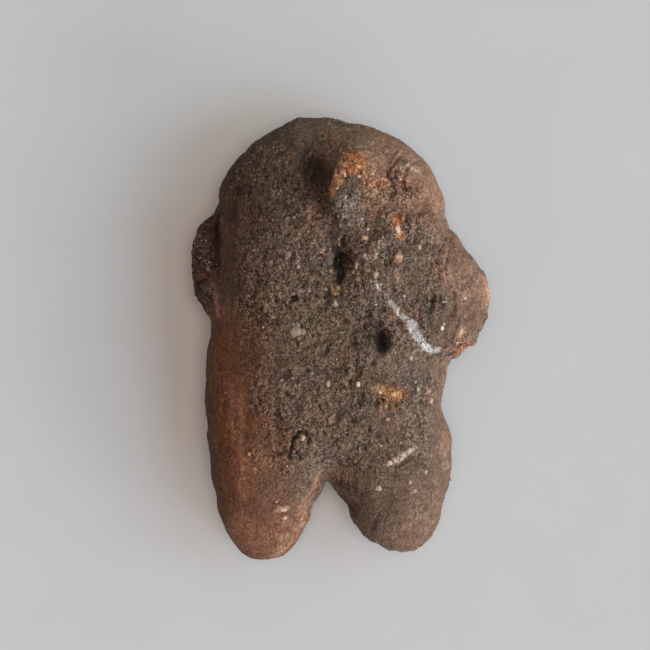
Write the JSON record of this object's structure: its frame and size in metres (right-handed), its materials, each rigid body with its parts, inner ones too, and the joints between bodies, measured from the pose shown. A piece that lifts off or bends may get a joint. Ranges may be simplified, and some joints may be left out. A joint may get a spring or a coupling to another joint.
{
  "type": "ancient clay figurine",
  "caption": "Small hand-pinched figurine of fired clay with a domed head, pinched nose, broken arm stubs and short rounded legs, lying on its flattened back.",
  "frame": {"origin": "bottom centre of the box around the figurine, on the table that it lies on", "axes": "+Y runs from the feet towards the crown of the head, +Z points out of the figure's front, and +X points to the viewer's right when the face is seen with the head up"},
  "size_m": [0.0402, 0.0602, 0.0197],
  "materials": {
    "fired_clay": "coarse gritty matte fired clay, dark grey-brown with reddish sides"
  },
  "bodies": {
    "root": {"figurine": "fired_clay"}
  },
  "joints": []
}
